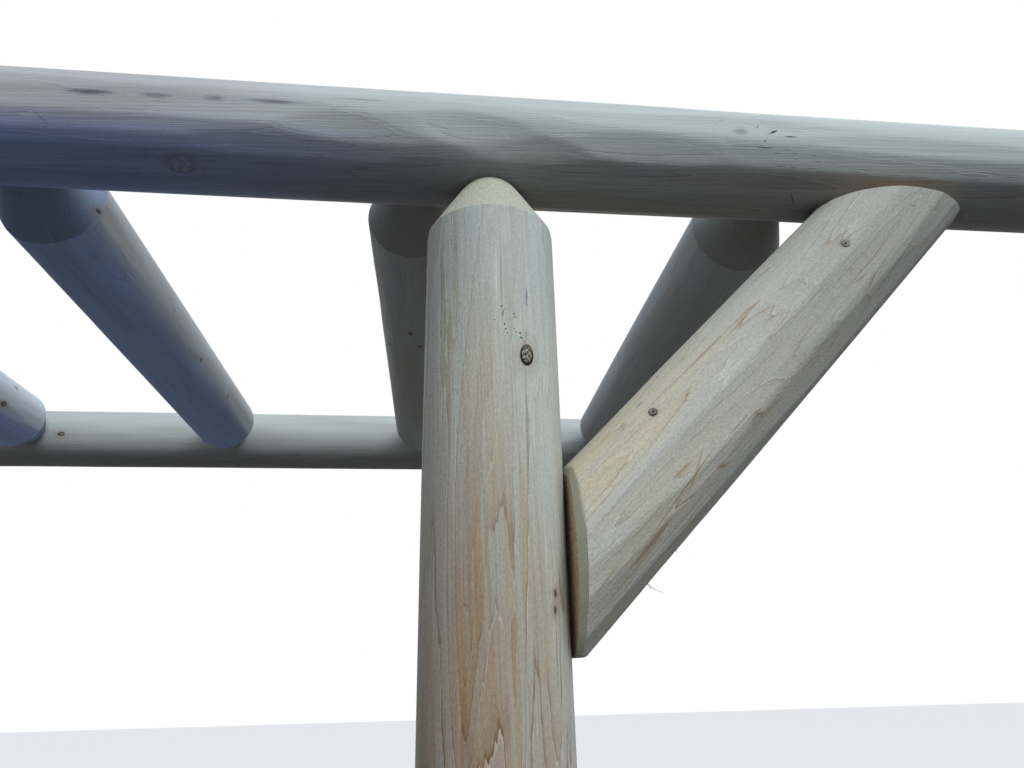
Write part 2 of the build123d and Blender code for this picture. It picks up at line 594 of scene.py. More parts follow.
def markSpace(paint, place, mark, log):
    # the space round a mark, 1 from its middle to its rim, and the distance from that middle
    angle = math.radians(mark["angle"])
    radius = float(np.interp(mark["at"], log.sideS, log.sideR))
    grainAt = mark["at"] + logShape["grainApart"] * log.number
    centre = (radius * math.cos(angle), radius * math.sin(angle), grainAt)
    deep = (mark.get("deep", 12), 1, 1)
    values = {"Vector": place, "Location": centre, "Rotation": (0, 0, angle), "Scale": deep}
    local = paint.node("ShaderNodeMapping", {"vector_type": "TEXTURE"}, values)
    if mark.get("lean"):
        lean = {"Vector": local, "Rotation": (math.radians(mark["lean"]), 0, 0), "Scale": (1, 1, 1)}
        local = paint.node("ShaderNodeMapping", {}, lean)
    local = paint.vector("MULTIPLY", local, (1, 1 / mark["wide"], 1 / mark["long"]))
    return local, paint.vector("LENGTH", local, output=1)


def woodMaterial(log):
    look = log.look
    material, paint = newMaterial(f"{log.name}_wood")
    place = paint.attribute("logSpace", 1)
    turned, sawn, bevelled = paint.parts(paint.attribute("cut", 1))
    ruled = paint.attribute("ruled", 2)
    seam = paint.attribute("seam", 2)
    x, y, s = paint.parts(place)
    along = s - logShape["grainApart"] * log.number
    radius = paint.vector("LENGTH", paint.vector("MULTIPLY", place, (1, 1, 0)), output=1)
    cutEnd = turned.atLeast(sawn)

    def facing(angle):
        turn = math.radians(angle)
        return (x * math.cos(turn) + y * math.sin(turn)) / radius.atLeast(1)

    # growth rings, bent by slow and quick noise and pulled round the knots
    swell = paint.noise(place, *look["swellNoise"])
    jag = paint.noise(place, *look["jagNoise"])
    teeth = paint.noise(place, *look["teethNoise"])
    bend = (swell - 0.5) * look["swell"] + (jag - 0.5) * look["jag"] + (teeth - 0.5) * look["teeth"]
    depth = radius * (sawn * (1 - look["cutThrough"]) + look["cutThrough"])
    depth = depth + along * look["taper"] + bend * (1 - sawn * 0.8)
    shapes = []
    for mark in log.marks:
        local, far = markSpace(paint, place, mark, log)
        shapes.append((mark, local, far))
        if mark.get("pull"):
            depth = depth + far.math("EXPONENT", far * far * -0.4) * mark["pull"]
    ring = depth / look["ringWidth"]
    inRing = ring.fraction()
    step = 1 - inRing.fade(0.96, 1.0)
    ringDice = paint.dice(ring.whole(), 3.7)
    ringTint = paint.dice(ring.whole(), 11.3)
    comeAndGo = paint.noise(place, *look["lineNoise"]).fade(0.36, 0.58)
    lateLine = inRing.fade(0.5, 0.95) * 0.3 + inRing.fade(look["lateFrom"], 0.96) * 0.7
    lateLine = lateLine * step * (ringDice * 0.75 + 0.25) * (comeAndGo * 0.8 + 0.2)

    # fibres and patches
    turning = {"Vector": place, "Angle": along * look["twist"]}
    spun = paint.node("ShaderNodeVectorRotate", {"rotation_type": "Z_AXIS"}, turning)
    fibre = paint.noise(spun, *look["fibreNoise"])
    scratch = paint.noise(spun, *look["scratchNoise"])
    streak = paint.noise(spun, *look["streakNoise"])
    patch = paint.noise(place, *look["patchNoise"])
    mottle = paint.noise(place, *look["mottleNoise"])
    speck = paint.noise(place, *look["speckNoise"])

    warm, cool, line = (tone(*look[key]) for key in ("warm", "cool", "line"))
    pale, streaks = tone(*look["pale"]), look["streaks"]
    warmth = patch.fade(0.42, 0.66) * look["warmth"]
    lineShare = lateLine * look["lines"] * (1 - turned * 0.85)
    if "warmBelow" in look:
        lower = (1 - along.fade(*look["warmBelow"])) * (along.fade(*look["fadeBelow"]) * 0.45 + 0.55)
        warmth = warmth * (lower * 0.7 + 0.3)
        upper = along.fade(*look["coolAbove"])
        warmSide = facing(look["warmSide"]).fade(-0.1, 0.9) * look["oneSided"] + 1 - look["oneSided"]
        warmAbove = (1 - lower) * facing(-78).fade(0.1, 0.95) * look["warmAbove"]
        warmth = (warmth + lower * warmSide * look["warmLow"] + warmAbove).atMost(1)
        lineShare = lineShare * (lower * (1 - look["linesAbove"]) + look["linesAbove"])
        pale = paint.mix(upper, pale, tone(*look["paleTop"]))
        streaks = (1 - upper * 0.6) * streaks
    wood = paint.mix(warmth, pale, warm)
    wood = paint.mix(streak.fade(0.5, 0.72) * streaks, wood, warm)
    wood = paint.mix(streak.fade(0.5, 0.3) * look["streaks"], wood, cool)
    warmRing = ringTint.fade(0.45, 1.0) * streaks * look["ringTint"] / look["streaks"]
    wood = paint.mix(warmRing * (1 - cutEnd * 0.7), wood, warm)
    wood = paint.mix(ringTint.fade(0.55, 0.0) * look["ringTint"] * (1 - cutEnd * 0.7), wood, cool)
    # painted highlight: a pale band just after each ring line, where the step of the ring would catch the
    # light
    stepHighlight = (1 - inRing.fade(0.0, 0.12)) * ringDice * look["stepHighlights"] * (1 - cutEnd)
    wood = paint.mix(stepHighlight, wood, tone(*look["edge"]))
    wood = paint.mix(lineShare, wood, line)
    fibreTone = (fibre - 0.5) * look["fibres"] + (scratch - 0.5) * look["scratches"] + (speck - 0.5) * 0.16
    fibreTone = fibreTone + (mottle - 0.5) * look["mottle"] + 1
    wood = paint.mix(1.0, wood, paint.grey(fibreTone), "MULTIPLY")
    if "skyward" in look:
        upwards = facing(look["skyward"])
        # painted light: over a stretch of a log, the side that faces down is tinted blue for bluish skylight
        # in the shade, the whole section is tinted too, and the bleaching is weaker there
        far = along.fade(*log.paintedSkyLightFades) if log.paintedSkyLightFades else 1
        bleached = look["bleached"] * (1 - far * 0.6) if log.paintedSkyLightFades else look["bleached"]
        wood = paint.mix(upwards.fade(*look["bleachFrom"]) * bleached, wood, tone(*look["bleach"]))
        # painted shade: the side that faces down is darkened towards the underneath tone
        wood = paint.mix(upwards.fade(-0.55, -0.85) * look["undersideShade"], wood, tone(*look["underneath"]))
        if log.cast:
            wood = paint.mix(upwards.fade(-0.25, -0.85) * far * log.cast, wood, look["paintedSkyShadeTint"], "MULTIPLY")
            wood = paint.mix(far * log.cast, wood, look["paintedSkyLightTint"], "MULTIPLY")

    # turned shoulders, sawn ends and hand-cut bevels
    dash = paint.noise(place, *look["dashNoise"]).fade(0.42, 0.66)
    shoulder = paint.mix(dash * look["dashes"], tone(*look["turned"]), tone(*look["torn"]))
    wood = paint.mix(turned * (1 - sawn) * 0.85, wood, shoulder)
    sawnTone = paint.mix(lateLine * 0.6, tone(*look["sawn"]), line)
    fuzz = mottle.fade(0.4, 0.56) * 0.5 + speck.fade(0.4, 0.65) * 0.4
    sawnTone = paint.mix(fuzz, sawnTone, tone(*look["sawnDark"]))
    wood = paint.mix(sawn * 0.92, wood, sawnTone)
    rules = (ruled * 2.9 + speck * 1.5).wave() * 0.5 + 0.5
    bevelTone = paint.mix(rules * 0.4, tone(*look["bevel"]), line)
    wood = paint.mix(bevelled * 0.85, wood, bevelTone)

    # relief, then knots, stains, checks and pale scrapes
    height = fibre * look["fibreHeight"] + scratch * look["scratchHeight"] * (1 - cutEnd)
    height = height + inRing * step * look["terrace"] * (1 - cutEnd) + speck * look["speckHeight"]
    height = height + mottle * look["mottleHeight"] - turned * dash * look["dashHeight"]
    for mark, local, far in shapes:
        wood, height = paintMark(paint, wood, height, mark, local, far, speck, jag)

    # painted shadow: a dark line where two logs meet, weaker on sawn faces, and round it painted shade mixed
    # with grime
    wood = paint.mix((1 - seam.fade(0.0, 9.0)) * 0.22, wood, tone(*look["jointShadeAndDirt"]))
    wood = paint.mix((1 - seam.fade(0.4, 1.4)) * 0.6 * (1 - sawn * 0.6), wood, tone(*look["jointShadow"]))

    rough = look["roughness"] + (fibre - 0.5) * 0.15 + sawn * 0.1
    bump = paint.bump(look["bump"], height)
    surface = {"Base Color": wood, "Roughness": rough, "Normal": bump, "Specular IOR Level": 0.06}
    paint.finish(paint.principled(surface))
    return material


markTones = {
    "ringDark": (46, 43, 40), "ringPale": (150, 146, 134), "halo": (136, 116, 92), "rim": (26, 22, 19),
    "pinHalo": (140, 108, 78), "pin": (44, 35, 28), "stain": (62, 62, 84), "check": (58, 56, 60),
}


def paintMark(paint, wood, height, mark, local, far, speck, jag):
    kind = mark["kind"]
    dark = mark["dark"]
    tones = {key: tone(*colour) for key, colour in markTones.items()}
    own = tone(*mark["colour"]) if mark["colour"] else tones.get(kind)
    if kind == "knot":
        # a dark rim, thicker below, round a few rings that crowd towards the top
        deep, across, along = paint.parts(local)
        rim = far + along * -0.16 + (speck - 0.5) * 0.25
        clear = mark.get("clear", 1)
        core = (1 - far.fade(0.88, 1.04)) * clear
        rings = (along * 10 + abs(across) * 6 + jag * 9 + speck * 9).wave() * 0.5 + 0.5
        inner = paint.mix(rings, tones["ringDark"], tones["ringPale"])
        wood = paint.mix((1 - far.fade(1.0, 3.2)) * 0.28 * clear, wood, tones["halo"])
        wood = paint.mix(core, wood, inner)
        edge = rim.fade(0.72, 0.9) * (1 - far.fade(1.02, 1.2))
        wood = paint.mix(edge * dark * clear, wood, tones["rim"])
        height = height - edge * 0.5 + core * rings * 0.2
    elif kind == "pin":
        core = 1 - (far + (speck - 0.5) * 1.2).fade(0.5, 1.1)
        halo = tone(*mark["halo"]) if "halo" in mark else tones["pinHalo"]
        wood = paint.mix((1 - far.fade(0.8, 3.0)) * 0.35, wood, halo)
        wood = paint.mix(core * dark, wood, tones["pin"])
    elif kind == "stain":
        ragged = far + (jag - 0.5) * 1.3 + (speck - 0.5) * 0.6
        wood = paint.mix((1 - ragged.fade(0.25, 1.0)) * dark, wood, own)
    elif kind == "check":
        crack = 1 - (far + (speck - 0.5) * 1.2).fade(0.45, 1.0)
        wood = paint.mix(crack * dark, wood, own)
        if mark.get("cut"):
            height = height - crack * mark["cut"]
    return wood, height


# Posts

postWood = {
    **cedar,
    "pale": (178, 180, 170), "warm": (144, 119, 90), "cool": (164, 175, 179), "line": (106, 74, 48),
    "turned": (168, 169, 154), "torn": (112, 94, 76), "dashes": 0.36, "bevel": (196, 198, 176),
    # the edge colour and its share give the painted highlight beside the ring lines
    "sawn": (176, 150, 120), "sawnDark": (110, 88, 68), "edge": (200, 200, 186), "stepHighlights": 0.45,
    "warmth": 0.3, "warmBelow": (1530, 1850), "fadeBelow": (1100, 1500), "warmSide": -35, "warmLow": 0.88,
    "warmAbove": 0.26, "linesAbove": 0.25, "coolAbove": (1820, 1930), "paleTop": (170, 175, 171),
    "streaks": 0.3, "ringTint": 0.24, "lines": 0.95, "fibres": 0.2, "fibreHeight": 0.16, "terrace": 0.2,
    "flatsAround": 15, "flatLength": 460, "flatDepth": 1.3,
}
shownPostMarks = [
    spot("knot", 1836.5, 24.9, 5.6, 8.6, 0.95, lean=9, pull=3, swell=0.6),
    spot("stain", 1848, 23, 2.6, 3, 0.5, (138, 112, 84)),
    spot("flame", 1790, -14.5, 11, 150, lean=4.5, pull=-3.0, deep=60),
    spot("flame", 1650, 9.5, 8, 130, pull=-2.2, deep=60),
    spot("flame", 1610, -22, 9, 100, pull=-2.0, deep=60),
    spot("flame", 1700, 38, 8, 130, pull=-1.6, deep=60),
    spot("stain", 1588, -26, 2.6, 22, 0.4, (132, 96, 54)),
    spot("stain", 1560, -24, 7, 26, 0.35, (112, 84, 58)),
    spot("stain", 1520, -58, 17, 170, 0.3, (136, 102, 70)),
    spot("stain", 1577, 3, 4, 24, 0.3, (118, 92, 80)),
    spot("pin", 1657.7, 46.2, 2.4, 3.6, pull=0.5),
    spot("pin", 1646.3, 45.3, 2.2, 3.8, pull=0.5),
    spot("check", 1620, 45.5, 0.9, 34, 0.5, (118, 88, 62)),
    spot("check", 1775, 23.0, 1.1, 62, 0.5, (104, 112, 120), cut=0.2),
    spot("check", 1889, 26.5, 1.0, 12, 0.75, (88, 104, 126)),
    spot("check", 1871, 5.5, 0.6, 7, 0.6, lean=13),
    spot("check", 1855, 24.6, 0.7, 7, 0.5, (96, 86, 74)),
    spot("stain", 1922, -50, 3.2, 62, 0.3, (134, 110, 86)),
    spot("stain", 1905, -35, 4.4, 80, 0.26, (142, 120, 96)),
    spot("stain", 1957, -22, 9, 26, 0.3, (156, 166, 170)),
    spot("check", 1908, 0.5, 1.3, 36, 0.4, (206, 211, 206)),
    spot("check", 1898, 4.4, 1.0, 40, 0.4, (128, 114, 96)),
    spot("flame", 1962, 17.8, 5, 24, pull=-2.0, deep=60),
]
# pits round the knot, where the tool tore the wood: height, angle, half width, half length
shownPits = [
    (1877.2, 4.3, 1.2, 1.1), (1871.3, 14.8, 1.3, 1.0), (1868.6, 15.7, 2.4, 0.5), (1861.1, 6.4, 0.8, 1.4),
    (1856.9, 7.2, 1.3, 0.8), (1853.7, 8.6, 0.7, 1.1), (1858.1, 14.5, 1.3, 0.5), (1855.2, 16.0, 0.6, 1.3),
    (1854.9, 19.4, 1.3, 1.1), (1850.9, 20.2, 1.7, 1.1), (1852.1, 12.4, 0.7, 0.6), (1864.8, -1.8, 1.1, 0.5),
]
shownPostMarks += [
    spot("pin", at, angle, wide, long, halo=(184, 188, 180))
    for at, angle, wide, long in shownPits
]
strays = {
    "wide": (2.2, 6), "knotFrom": 3.4, "long": (1.2, 1.7), "dark": (0.5, 0.9),
    "pull": 0.9, "swell": 0.08,    # as shares of the width
}


def strayMarks(log, low, high, count):
    # a few knots for each log, where the photo shows none
    marks = []
    for i in range(count):
        wide = log.random.uniform(*strays["wide"])
        kind = "knot" if wide > strays["knotFrom"] else "pin"
        at = low + (high - low) * (i + log.random.uniform(0.2, 0.8)) / count
        angle = log.random.uniform(0, 360)
        long = wide * log.random.uniform(*strays["long"])
        dark = log.random.uniform(*strays["dark"])
        pull, swell = wide * strays["pull"], wide * strays["swell"]
        marks.append(spot(kind, at, angle, wide, long, dark, pull=pull, swell=swell))
    return marks


sides = ("front", "back")
hands = ("left", "right")

for side in sides:
    for hand in hands:
        name = f"{side}_{hand}_post"
        low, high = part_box(name)
        start = np.array([(low.x + high.x) / 2, (low.y + high.y) / 2, low.z]) / mm
        rings = readRings(name, start, np.array([0, 0, 1]))
        shoulder = max(rings, key=lambda ring: ring[1])
        foot = [ring for ring in rings if ring[0] < 20]
        front = (0, -1, 0) if side == "front" else (0, 1, 0)
        log = Log(name, postWood, "post_cedar", start, (0, 0, 1), front, rings[-1][0], shoulder[1])
        log.startEnd = [foot[0], foot[-1]]
        log.finalEnd = splitRings(rings, shoulder[1])[1]
        log.sideS, log.sideR = zip(*(ring for ring in rings if foot[-1][0] <= ring[0] <= shoulder[0]))
        if name == viewpoint["post"]:
            log.columns = 144
            log.closeUps = [(1530, 2000, 2.8)]
            log.marks = shownPostMarks + strayMarks(log, 150, 1400, 3)
        else:
            log.step = 10
            log.marks = strayMarks(log, 150, 1900, 5)


# Beams

beamWood = {
    **cedar,
    "ringWidth": 1.1, "taper": 0.004, "cutThrough": 0.3, "swellNoise": (21, 700, 1.0, 0.4), "jag": 0.6,
    "pale": (162, 165, 163), "warm": (146, 138, 134), "cool": (144, 150, 156), "line": (100, 92, 90),
    "turned": (170, 164, 150), "torn": (110, 96, 84), "dashes": 0.2, "bevel": (140, 134, 120),
    "sawn": (150, 132, 108), "sawnDark": (88, 74, 60), "edge": (184, 188, 188), "stepHighlights": 0.2,
    "warmth": 0.6, "streaks": 0.4, "ringTint": 0.2, "lines": 0.4, "fibres": 0.26, "fibreHeight": 0.2,
    "terrace": 0.2, "twist": 0.0009, "mottle": 0.26, "mottleHeight": 0.15,
    "scratches": 0.42, "scratchHeight": 0.32,
    "skyward": -90, "bleachFrom": (-0.75, -0.3), "bleached": 0.6, "bleach": (176, 187, 187),
    # painted shade on the side that faces down, and its dark tone
    "undersideShade": 0.25, "underneath": (36, 34, 33),
    # painted skylight: a blue tint for the side that faces down, and a tint over the whole section
    "paintedSkyShadeTint": (0.64, 0.98, 1.8, 1), "paintedSkyLightTint": (1, 0.94, 1.04, 1),
    "flatsAround": 11, "flatLength": 420, "flatDepth": 1.5,
}
calm = {
    "mottle": 0.07, "mottleHeight": 0.04, "scratches": 0.1, "scratchHeight": 0.06,
    "stepHighlights": 0.08, "fibres": 0.1, "ringTint": 0.12,
}


def fromPost(at):
    # places along the front beam are measured from the post that shows
    return at + (boxCentre(viewpoint["post"]).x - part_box(viewpoint["beam"])[0].x) / mm


shownBeamMarks = [
    spot("stain", -350, 1.6, 4.2, 27, 0.75),
    spot("stain", -296, 0.8, 3.6, 20, 0.5),
    spot("stain", -246, 0.4, 4.4, 14, 0.5),
    spot("stain", -194, 0.2, 2.6, 32, 0.6),
    spot("stain", -123, -8.8, 1.8, 30, 0.35),
    spot("knot", -277.8, 68.2, 9, 13, 0.5, pull=3, swell=0.7, clear=0.25),
    spot("check", -388, 30.7, 0.8, 9, 0.35, lean=40),
    spot("stain", 238, 2.5, 7, 10, 0.5, (104, 88, 88), pull=5, swell=1.0),
    spot("check", 270, 0.5, 1.8, 7, 0.9, (52, 42, 36), lean=-30),
    spot("check", 286, 6.0, 1.0, 8, 0.85, (46, 38, 32)),
    spot("check", 255.5, -6.5, 1.0, 3, 0.6, (78, 64, 52), lean=-60),
    spot("check", 259.5, 20, 0.8, 11, 0.7, (78, 62, 50)),
    spot("check", 297, 72, 0.9, 6, 0.7, lean=60),
]
# tears beside that swelling: place, angle, half width, half length
shownTears = [
    (259.9, 12.8, 1.6, 1.9), (290, 24.5, 0.9, 4), (292, 29.8, 0.8, 2), (310, 25.2, 1.0, 3),
    (314, 31.4, 0.8, 4.5), (272, 25.1, 0.7, 4), (282, 21, 0.7, 5), (277, 38.2, 0.8, 6),
    (289, 38.5, 1.0, 4), (308, 39, 0.8, 7),
]
shownBeamMarks += [
    spot("check", at, angle, wide, long, 0.4, (70, 70, 70))
    for at, angle, wide, long in shownTears
]

shownBeamBulge = (fromPost(0), math.radians(64), 2.8, 20, 48)   # place, angle, rise, how wide, how long
# where the photo shows the real flats: from, to, and the angles between which they lie
beamClearings = [(-520, -150, -12, 80), (-150, 150, 45, 110), (120, 600, 14, 76)]
shownBeamCuts = [
    # place, angle, depth, half its length, lean, power of the run-out
    (-12, 19, 3.2, 68, 0.12, 2), (30, 34, 2.6, 74, 0.1, 2), (150, 28, 2.8, 90, 0.05, 2),
    (-130, 24, 2.6, 70, 0.1, 2), (-380, 8, 2.0, 260, 0.04, 4), (-400, 30, 1.3, 230, 0.02, 4),
    (-390, 46, 1.1, 250, 0.0, 4), (-380, 66, 2.0, 330, 0.0, 4), (-175, 44, 1.9, 110, 0.0, 4),
    (210, -5, 1.6, 210, 0.02, 2), (400, 31, 1.7, 230, 0.05, 4), (330, 56, 2.1, 360, 0.03, 4),
    (430, 11, 1.4, 160, 0.05, 2),
]

for side in sides:
    name = f"{side}_beam"
    low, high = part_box(name)
    start = np.array([low.x, (low.y + high.y) / 2, (low.z + high.z) / 2]) / mm
    radius = (high.y - low.y) / 2 / mm
    tip = readRings(name, start, np.array([1, 0, 0]))[0][1]
    look = beamWood if side == "front" else {**beamWood, **calm, "bleached": 0.4}
    log = Log(name, look, "beam_cedar", start, (1, 0, 0), (0, -1, 0), (high.x - low.x) / mm, radius)
    log.startEnd = log.finalEnd = [(0, tip), (radius - tip, radius)]
    if side == "front":
        log.columns = 112
        log.closeUps = [(fromPost(-470), fromPost(590), 3.6)]
        # painted skylight tint over the part of the beam left of the post that shows
        log.cast = 0.8
        log.paintedSkyLightFades = (fromPost(40), fromPost(-420))
        log.marks = moved(shownBeamMarks, fromPost(0)) + strayMarks(log, 200, 2400, 5)
    else:
        log.marks = [spot("knot", fromPost(-780.6), 8.8, 4, 6, pull=4)] + strayMarks(log, 200, 3500, 6)


# Rafters

rafterWood = {
    **beamWood,
    **calm,
    "pale": (156, 160, 160), "warm": (146, 140, 134), "cool": (142, 150, 156), "line": (104, 96, 94),
    "paintedSkyShadeTint": (0.86, 1.15, 2.0, 1), "paintedSkyLightTint": (0.96, 1, 1.06, 1), "undersideShade": 0, "skyward": 180,
    "bleachFrom": (-0.1, 0.8), "bleach": (170, 176, 178), "turned": (140, 140, 138), "lines": 0.3,
    "flatsAround": 14, "flatDepth": 1.3,
}
rafterCount = sum(node.startswith("rafter_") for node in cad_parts)
shownFrom = 6    # the rafters before this one don't show in the photo
shownRafterMarks = {
    "rafter_7": [
        spot("check", 100, -12, 1.0, 46, 0.6, (150, 156, 170), lean=6),
        spot("pin", 105.5, -76.2, 2.8, 4, pull=2, swell=0.5),
        spot("pin", 464.6, -71.9, 2.6, 3.4, pull=2),
    ],
    "rafter_6": [
        spot("knot", 659.8, -69.9, 4.2, 6, pull=4, swell=0.5),
        spot("pin", 684.4, -114.1, 2.6, 4, pull=2),
    ],
    "rafter_8": [
        spot("pin", 290, 11.3, 2.8, 4, pull=2),
        spot("pin", 326.1, -2.2, 2.8, 4, pull=2),
    ],
}
# painted light on two rafters: rafter_6 is lightened through its skylight tint, and both get bluish turned
# shoulders for the blue shade on them
shownRafterLooks = {
    "rafter_6": {"paintedSkyLightTint": (1.3, 1.36, 1.5, 1), "turned": (124, 138, 160)},
    "rafter_7": {"turned": (118, 134, 162)},
}

for i in range(1, rafterCount + 1):
    name = f"rafter_{i}"
    low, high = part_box(name)
    start = np.array([(low.x + high.x) / 2, low.y, (low.z + high.z) / 2]) / mm
    rings = readRings(name, start, np.array([0, 1, 0]))
    radius = max(r for s, r in rings)
    look = {**rafterWood, **shownRafterLooks.get(name, {})}
    log = Log(name, look, "rafter_cedar", start, (0, 1, 0), (0, 0, -1), rings[-1][0], radius)
    log.startEnd, log.finalEnd = splitRings(rings, radius)
    log.columns = 80
    log.step = 6 if i >= shownFrom else 8
    # painted skylight tint on the two rafters at the left
    log.cast = 0.8 if i in (6, 7) else 0
    fromBeam = boxCentre("front_beam").y / mm - start[1]
    log.marks = moved(shownRafterMarks.get(name, []), fromBeam)
    log.marks += strayMarks(log, 200, 800, 1 if log.marks else 3)


# Braces

braceWood = {
    **postWood,
    "ringWidth": 0.9, "taper": 0.009,
    "pale": (174, 174, 167), "warm": (180, 171, 144), "cool": (163, 166, 166), "line": (126, 98, 70),
    # the sawn colours are lifted above the wood's own as painted light, for end fibres that catch light in
    # the shaded gap against the post
    "sawn": (228, 198, 162), "sawnDark": (148, 120, 92), "warmth": 0.25, "warmBelow": (-40, 460),
    "fadeBelow": (-200, -100), "warmSide": -75, "warmLow": 0.7, "oneSided": 1.0, "warmAbove": 0,
    "linesAbove": 0.9, "coolAbove": (120, 420), "paleTop": (156, 156, 149), "lines": 0.75, "scratches": 0.2,
    "mottle": 0.6, "mottleHeight": 0.5, "flatLength": 420, "flatsAround": 11, "flatDepth": 1.8,
}
braceShape = {
    "bevelAcross": 9,            # over the sawn face
    "bevelBack": 7.6,            # along the log, at the front
    "bevelShares": (0.4, 0.8),   # what is left of both on top and underneath
    "bevelRows": (0.06, 0.3, 0.55, 0.8, 0.97, 1.0),
    "bevelRules": 12,            # how far the knife's fine lines run on across the bevel
    "sawnRows": (0.97, 0.85, 0.7, 0.5, 0.3, 0.12),
    "crowded": 0.035,            # rows on the side come closer together near the ends
    "pastCuts": 200,             # the side counts as straight this far past the cuts
    "tipCut": 11,
}
screws = {
    "head": 3.8,
    "raised": 0.4,
    "recess": 1.2,
    "recessDepth": 0.3,   # it ends above the wood, and its floor carries painted shade
    "columns": 40,
    "sharpFrom": 35,
    "places": [(125.4, -35.8), (373.7, -10.7)],   # along the brace from its lower cut, and the angle
}
shownBraceMarks = [
    spot("stain", 128.3, -53.2, 2.6, 4.5, 0.5, (96, 104, 110)),
    spot("flame", 400, 14, 8, 70, pull=-2.4, deep=60),
    spot("flame", 260, 42, 8, 70, pull=-2.6, deep=60),
    spot("flame", 150, 30, 8, 60, pull=-2.2, deep=60),
    spot("check", 103, 16, 1.3, 13, 0.6, (150, 116, 76), lean=4),
    spot("check", 110, 25, 1.3, 24, 0.55, (150, 118, 80), lean=-24),
    spot("check", 93, 28, 0.9, 58, 0.55, (138, 112, 76), lean=-6, cut=0.3),
    spot("stain", 50, 37, 3.6, 40, 0.6, (138, 108, 74), lean=-4),
    spot("stain", 132, 41, 3.2, 11, 0.55, (136, 104, 72), lean=30),
    spot("check", 0, 28.4, 0.9, 20, 0.55, (140, 110, 74), lean=-5),
    spot("stain", 50, 22, 9, 80, 0.3, (164, 160, 130), lean=-6),
    spot("stain", 10, 44, 9, 50, 0.3, (140, 130, 114)),
    spot("check", 379, 11.4, 3.2, 3.0, 0.4, (150, 126, 92)),
    spot("check", 408, 15.5, 0.9, 34, 0.5, (132, 112, 84), lean=-6),
    spot("check", 355, 10.5, 3.4, 5, 0.4, (150, 128, 96), lean=-50),
    spot("check", 356, 22.0, 1.6, 11, 0.5, (136, 108, 76), lean=10),
    spot("check", 464, 13.5, 2.6, 3.4, 0.45, (132, 96, 82), lean=40),
    spot("check", 400, 43, 0.9, 46, 0.45, (96, 86, 74), lean=-8),
]
shownBraceCuts = [
    (90, -22, 2.3, 260, 0.15, 4), (150, 12, 2.6, 190, 0.2, 2), (330, 14, 2.6, 330, 0.12, 4),
    (50, 27, 1.0, 140, 0.3, 4), (60, 45, 1.5, 170, 0.2, 4), (360, 50, 1.8, 300, 0.06, 4),
    (60, 67, 1.6, 200, 0.1, 4), (540, 38, 3.0, 150, -0.2, 2),
]
braceClearings = [(-200, 420, 0, 85), (-200, 420, 310, 360)]


def bevelSize(key, angle):
    share = np.where(np.sin(angle) < 0, *braceShape["bevelShares"])
    return braceShape[key] * (1 - (1 - share) * np.sin(angle) ** 2)


class Brace(Log):
    # a log with a sloping cut at each end: upright against the post, level under the beam
    def ends(self, angle):
        # for each column, where the side starts and stops along the log
        v = np.sin(angle) * self.sideR[0]
        back = bevelSize("bevelBack", angle)
        reach = np.minimum(v - back, self.tipLimit() - v)
        return -reach, self.length + reach

    def tipLimit(self):
        return 2 * self.sideR[0] - braceShape["tipCut"] * math.sqrt(2)

    def outside(self, places):
        s, radius, angle = self.local(places)
        y = radius * np.sin(angle)
        ends = np.maximum(-s - y, s - self.length - y) / math.sqrt(2)
        return np.maximum(radius - self.sideR[0], ends)


def braceGrid(log):
    # rows over the side, then at each end the bevel, the flat off its tip and the sawn face
    angle = np.linspace(0, 2 * np.pi, log.columns, endpoint=False)
    low, high = log.ends(angle)
    share = np.linspace(0, 1, int((log.length + log.sideR[0]) / log.step))
    eased = share - braceShape["crowded"] * np.sin(2 * np.pi * share)
    s = low[None, :] + (high - low)[None, :] * eased[:, None]
    radius = log.sideRadius(s, np.repeat(angle[None, :], len(share), axis=0))
    x, y = radius * np.cos(angle), radius * np.sin(angle)
    parts = [(s, x, y, np.zeros((*s.shape, 3)), np.zeros_like(s))]
    across = bevelSize("bevelAcross", angle)
    back = bevelSize("bevelBack", angle)
    for end in (-1, 1):
        edge, centre = (0, 0) if end < 0 else (-1, log.length)
        rimX = (radius[edge] - across) * np.cos(angle)
        rimY = (radius[edge] - across / math.sqrt(2)) * np.sin(angle)
        rows = []
        for t in braceShape["bevelRows"]:
            bevelX = x[edge] * (1 - t) + rimX * t
            bevelY = y[edge] * (1 - t) + rimY * t
            ahead = np.minimum((y[edge] - back) * (1 - t) + rimY * t, log.tipLimit() - bevelY)
            rules = braceShape["bevelRules"] * t + 1
            rows.append((centre + end * ahead, bevelX, bevelY, (0, 0, 1), rules))
        for k in braceShape["sawnRows"]:
            rows.append((centre + end * rimY * k, rimX * k, rimY * k, (0, 1, 0), 0))
        if end < 0:
            rows.reverse()
        block = [np.array([row[i] for row in rows]) for i in range(3)]
        for i in (3, 4):
            told = np.array([row[i] for row in rows], float)
            block.append(np.repeat(told[:, None], log.columns, axis=1))
        parts.insert(0 if end < 0 else len(parts), block)
    return [np.concatenate([part[i] for part in parts]) for i in range(5)]


